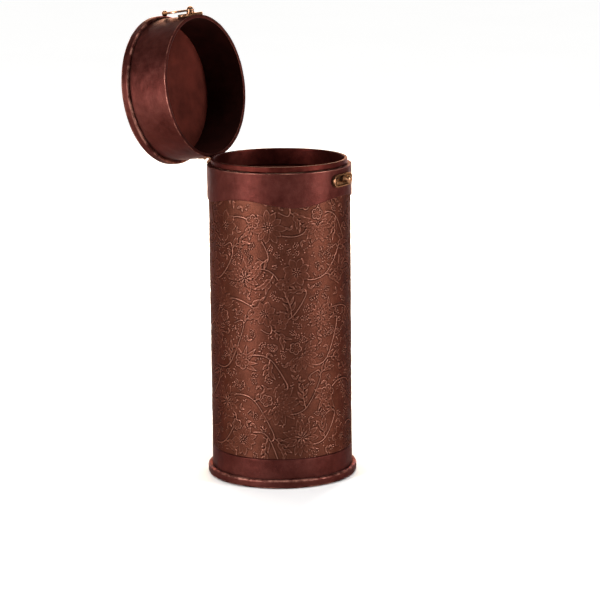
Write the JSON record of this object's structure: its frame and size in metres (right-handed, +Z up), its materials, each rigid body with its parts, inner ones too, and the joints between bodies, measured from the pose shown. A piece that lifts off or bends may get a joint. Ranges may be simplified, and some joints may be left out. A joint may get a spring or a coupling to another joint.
{
  "type": "round bottle box with hinged lid",
  "caption": "Tall round plywood bottle box covered in patterned and smooth leather, with a hinged lid, swing hook latch and bail handle.",
  "frame": {"origin": "centre of the base, on the surface that the box stands on", "axes": "+Z up along the body, +Y towards the hinge, -Y towards the latch, +X along the hinge pin"},
  "size_m": [0.13, 0.2039, 0.4031],
  "materials": {
    "patterned_leather": "embossed bronze-brown leather, satin, with dark recesses",
    "smooth_leather": "smooth maroon leather, semi-gloss, lightly mottled",
    "lining": "dark maroon lining, matt",
    "wood": "bare bent plywood",
    "felt": "dark felt",
    "antique_brass": "antique brass, worn bright on the edges and dark in the recesses"
  },
  "bodies": {
    "body": {"base_disc": "wood", "base_rim_leather": "smooth_leather", "base_pad": "felt", "outer_tube": "wood", "neck_tube": "wood", "neck_cover": "smooth_leather", "body_lining": "lining", "floor_lining": "lining", "patterned_leather": "patterned_leather", "base_band": "smooth_leather", "collar": "smooth_leather", "keeper_plate": "antique_brass", "keeper": "antique_brass", "keeper_screws": "antique_brass", "hinge_body_leaf": "antique_brass", "hinge_body_nails": "antique_brass"},
    "lid": {"lid_tube": "wood", "lid_disc": "wood", "lid_side_leather": "smooth_leather", "lid_rim_leather": "smooth_leather", "lid_top_leather": "patterned_leather", "lid_lining": "lining", "lid_lining_disc": "lining", "hinge_lid_leaf": "antique_brass", "hinge_lid_nails": "antique_brass", "hinge_pin": "antique_brass", "hook_plate": "antique_brass", "hook_plate_screws": "antique_brass", "hook_rivet": "antique_brass", "handle_post_left": "antique_brass", "handle_post_right": "antique_brass", "handle_rosettes": "antique_brass", "handle_nuts": "antique_brass"},
    "hook": {"hook": "antique_brass"},
    "bail": {"bail": "antique_brass"}
  },
  "joints": [
    {"name": "lid_hinge", "type": "hinge", "parent": "body", "child": "lid", "pos_m": [0, 0.0635, 0.272], "axis": [1, 0, 0], "range_deg": [0, 98.5]},
    {"name": "hook_pivot", "type": "hinge", "parent": "lid", "child": "hook", "pos_m": [0, 0.08865, 0.39969], "axis": [0, -0.1478, -0.989], "range_deg": [0, 180]},
    {"name": "bail_swing", "type": "hinge", "parent": "lid", "child": "bail", "pos_m": [0, 0.12412, 0.32715], "axis": [1, 0, 0], "range_deg": [-15, 178]}
  ]
}
